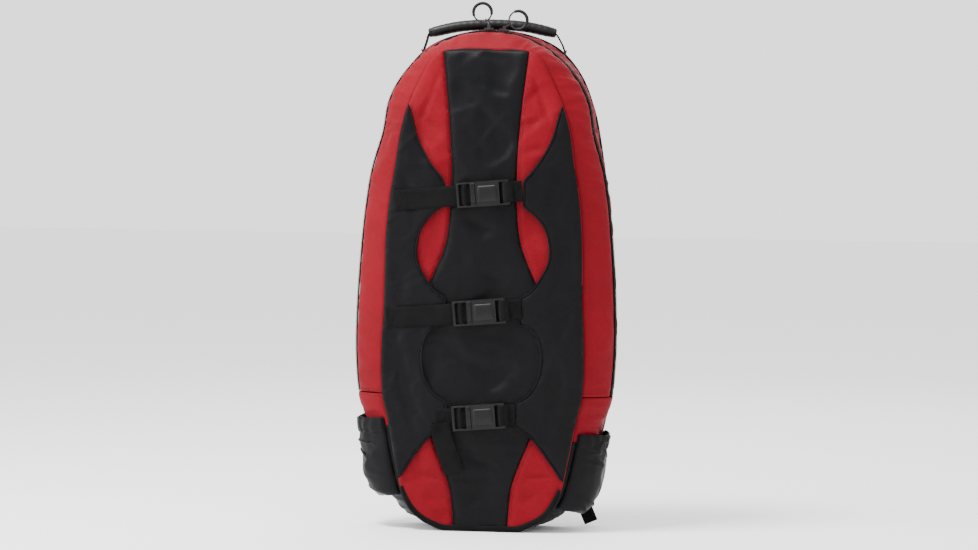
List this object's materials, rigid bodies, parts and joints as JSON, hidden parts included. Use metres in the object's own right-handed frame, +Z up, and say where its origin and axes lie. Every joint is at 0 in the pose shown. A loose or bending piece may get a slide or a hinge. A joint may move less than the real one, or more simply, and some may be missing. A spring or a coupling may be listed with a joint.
{
  "type": "ski bag",
  "caption": "Egg-shaped backpack ski bag with a zipped side wall, strapped front wings, side pockets, grab handle and shoulder harness.",
  "frame": {"origin": "centre of the flat patch under the bag that it stands on", "axes": "+Z up along the bag's height, -Y towards the front with the straps, +X to the right as seen from the front"},
  "size_m": [0.3778, 0.1746, 0.762],
  "materials": {
    "red_fabric": "matte",
    "black_fabric": "matte",
    "zip_coil": "satin",
    "webbing": "matte",
    "buckle_plastic": "satin",
    "slider_metal": "satin",
    "grip_plastic": "satin",
    "foam_mesh": "matte",
    "stiffener": "matte"
  },
  "bodies": {
    "bag": {"back_foam_pad": "foam_mesh", "back_panel": "black_fabric", "base_board": "stiffener", "bottom_binding": "webbing", "buckle_female_1": "buckle_plastic", "buckle_female_2": "buckle_plastic", "buckle_female_3": "buckle_plastic", "front_corner_left": "red_fabric", "front_corner_right": "red_fabric", "front_flank_left": "red_fabric", "front_flank_right": "red_fabric", "front_panel_centre": "black_fabric", "gusset_front": "red_fabric", "gusset_lower": "black_fabric", "gusset_rear": "red_fabric", "gusset_side_left": "red_fabric", "gusset_side_right": "red_fabric", "ladder_lock_left": "buckle_plastic", "ladder_lock_right": "buckle_plastic", "lower_webbing_left": "webbing", "lower_webbing_right": "webbing", "pocket_elastic_left": "webbing", "pocket_elastic_right": "webbing", "shoulder_strap_left": "foam_mesh", "shoulder_strap_right": "foam_mesh", "side_pocket_left": "black_fabric", "side_pocket_right": "black_fabric", "strap_left_1": "webbing", "strap_left_2": "webbing", "strap_left_3": "webbing", "strap_right_1": "webbing", "strap_right_2": "webbing", "strap_right_3": "webbing", "webbing_tail_left": "webbing", "webbing_tail_right": "webbing", "wing_left": "black_fabric", "wing_right": "black_fabric", "zip_chain": "zip_coil"},
    "male_1": {"buckle_male_1": "buckle_plastic"},
    "prong_upper_1": {"release_prong_upper_1": "buckle_plastic"},
    "prong_lower_1": {"release_prong_lower_1": "buckle_plastic"},
    "male_2": {"buckle_male_2": "buckle_plastic"},
    "prong_upper_2": {"release_prong_upper_2": "buckle_plastic"},
    "prong_lower_2": {"release_prong_lower_2": "buckle_plastic"},
    "male_3": {"buckle_male_3": "buckle_plastic", "strap_tail_3": "webbing"},
    "prong_upper_3": {"release_prong_upper_3": "buckle_plastic"},
    "prong_lower_3": {"release_prong_lower_3": "buckle_plastic"},
    "slider_left": {"zip_slider_left": "slider_metal"},
    "tab_left": {"pull_tab_left": "slider_metal"},
    "ring_left": {"pull_ring_left": "slider_metal", "ring_grip_left": "grip_plastic"},
    "slider_right": {"zip_slider_right": "slider_metal"},
    "tab_right": {"pull_tab_right": "slider_metal"},
    "ring_right": {"pull_ring_right": "slider_metal", "ring_grip_right": "grip_plastic"},
    "handle": {"handle_sleeve": "grip_plastic", "handle_webbing": "webbing"}
  },
  "joints": [
    {"name": "buckle_1_release", "type": "slide", "parent": "bag", "child": "male_1", "axis": [-0.9962, 0, -0.0872], "range_m": [0, 0.035]},
    {"name": "prong_upper_1_squeeze", "type": "hinge", "parent": "male_1", "child": "prong_upper_1", "pos_m": [-0.00897, -0.07, 0.49576], "axis": [0, 1, 0], "range_deg": [0, 6], "stiffness_Nm_per_rad": 0.6},
    {"name": "prong_lower_1_squeeze", "type": "hinge", "parent": "male_1", "child": "prong_lower_1", "pos_m": [-0.00697, -0.07, 0.47285], "axis": [0, 1, 0], "range_deg": [-6, 0], "stiffness_Nm_per_rad": 0.6},
    {"name": "buckle_2_release", "type": "slide", "parent": "bag", "child": "male_2", "axis": [-0.9962, 0, -0.0872], "range_m": [0, 0.035]},
    {"name": "prong_upper_2_squeeze", "type": "hinge", "parent": "male_2", "child": "prong_upper_2", "pos_m": [-0.01197, -0.07, 0.32676], "axis": [0, 1, 0], "range_deg": [0, 6], "stiffness_Nm_per_rad": 0.6},
    {"name": "prong_lower_2_squeeze", "type": "hinge", "parent": "male_2", "child": "prong_lower_2", "pos_m": [-0.00997, -0.07, 0.30385], "axis": [0, 1, 0], "range_deg": [-6, 0], "stiffness_Nm_per_rad": 0.6},
    {"name": "buckle_3_release", "type": "slide", "parent": "bag", "child": "male_3", "axis": [-0.9962, 0, -0.0872], "range_m": [0, 0.035]},
    {"name": "prong_upper_3_squeeze", "type": "hinge", "parent": "male_3", "child": "prong_upper_3", "pos_m": [-0.01097, -0.07, 0.17676], "axis": [0, 1, 0], "range_deg": [0, 6], "stiffness_Nm_per_rad": 0.6},
    {"name": "prong_lower_3_squeeze", "type": "hinge", "parent": "male_3", "child": "prong_lower_3", "pos_m": [-0.00897, -0.07, 0.15385], "axis": [0, 1, 0], "range_deg": [-6, 0], "stiffness_Nm_per_rad": 0.6},
    {"name": "zip_left", "type": "hinge", "parent": "bag", "child": "slider_left", "pos_m": [0, -0.005, 0.565], "axis": [0, 1, 0], "range_deg": [-48, 0]},
    {"name": "tab_left_swing", "type": "hinge", "parent": "slider_left", "child": "tab_left", "pos_m": [-0.00141, -0.005, 0.72649], "axis": [0, 1, 0], "range_deg": [-36, 32]},
    {"name": "ring_left_swing", "type": "hinge", "parent": "tab_left", "child": "ring_left", "pos_m": [-0.00536, -0.005, 0.73458], "axis": [0.8988, 0, 0.4384], "range_deg": [-60, 60]},
    {"name": "zip_right", "type": "hinge", "parent": "bag", "child": "slider_right", "pos_m": [0, -0.005, 0.565], "axis": [0, 1, 0], "range_deg": [0, 42]},
    {"name": "tab_right_swing", "type": "hinge", "parent": "slider_right", "child": "tab_right", "pos_m": [0.02108, -0.005, 0.72512], "axis": [0, 1, 0], "range_deg": [-48, 5]},
    {"name": "ring_right_swing", "type": "hinge", "parent": "tab_right", "child": "ring_right", "pos_m": [0.02903, -0.005, 0.72934], "axis": [0.4695, 0, -0.8829], "range_deg": [-60, 60]},
    {"name": "handle_lift", "type": "hinge", "parent": "bag", "child": "handle", "pos_m": [0, 0.0565, 0.69], "axis": [1, 0, 0], "range_deg": [-85, 0]}
  ],
  "couplings": [
    {"joint": "prong_lower_1_squeeze", "follows": "prong_upper_1_squeeze", "ratio": -1},
    {"joint": "prong_lower_2_squeeze", "follows": "prong_upper_2_squeeze", "ratio": -1},
    {"joint": "prong_lower_3_squeeze", "follows": "prong_upper_3_squeeze", "ratio": -1}
  ]
}
